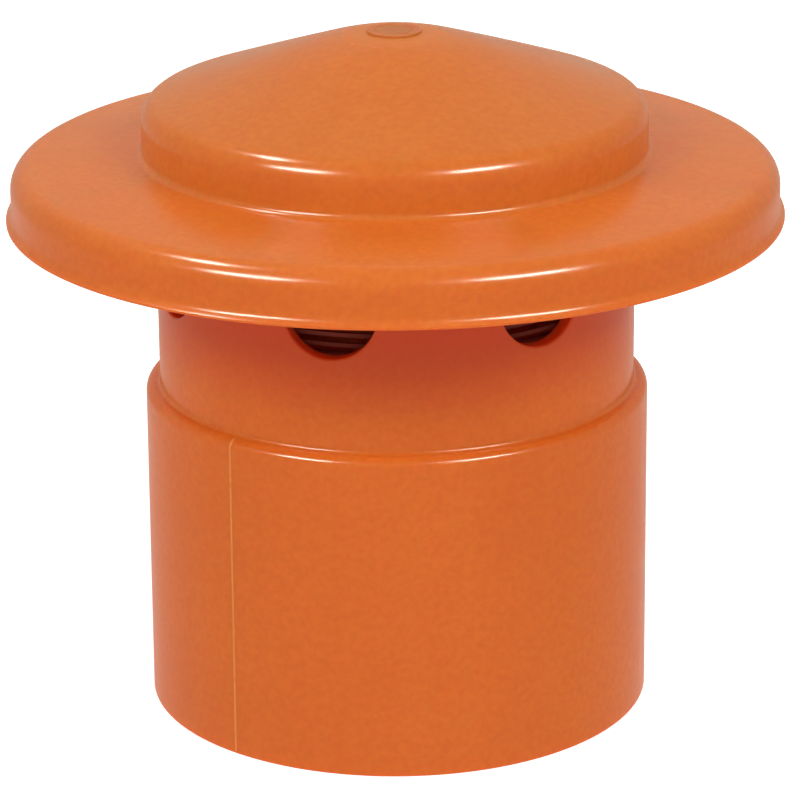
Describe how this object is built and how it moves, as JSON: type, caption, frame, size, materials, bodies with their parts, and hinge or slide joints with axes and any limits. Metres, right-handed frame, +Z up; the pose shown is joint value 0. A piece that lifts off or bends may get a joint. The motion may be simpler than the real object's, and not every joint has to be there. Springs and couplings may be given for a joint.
{
  "type": "automatic air vent",
  "caption": "Round plastic vent for the top of a drain pipe: plain socket, inlet holes in the neck, a lifting valve disc inside and a wide domed cap.",
  "frame": {"origin": "centre of the socket's mouth, on the plane of its rim", "axes": "+Z up along the pipe's axis, -Y towards the front, +X to the right seen from the front"},
  "size_m": [0.178, 0.178, 0.1583],
  "materials": {
    "orange_pvc": "glossy",
    "insert_abs": "satin",
    "guide_acetal": "satin",
    "bush_nylon": "satin",
    "screen_plastic": "matte",
    "seal_rubber": "matte",
    "diaphragm_rubber": "matte",
    "valve_plastic": "satin",
    "stainless_steel": "brushed",
    "spring_steel": "satin"
  },
  "bodies": {
    "vent_body": {"socket_body": "orange_pvc", "seat_insert": "insert_abs", "seat_gasket": "seal_rubber", "cap_o_ring": "seal_rubber", "riser_o_ring": "seal_rubber", "insect_screen": "screen_plastic", "guide_spider": "guide_acetal", "guide_bush": "bush_nylon"},
    "valve": {"valve_plate": "valve_plastic", "diaphragm": "diaphragm_rubber", "clamp_ring": "valve_plastic", "clamp_screws": "stainless_steel", "guide_stem": "stainless_steel", "stem_washer": "stainless_steel", "stem_nut": "stainless_steel", "stop_washer": "diaphragm_rubber", "stem_clip": "spring_steel"},
    "cap": {"cap_shell": "orange_pvc"}
  },
  "joints": [
    {"name": "valve_lift", "type": "slide", "parent": "vent_body", "child": "valve", "axis": [0, 0, 1], "range_m": [0, 0.008]},
    {"name": "cap_lift_off", "type": "slide", "parent": "vent_body", "child": "cap", "axis": [0, 0, 1], "range_m": [0, 0.04]}
  ]
}
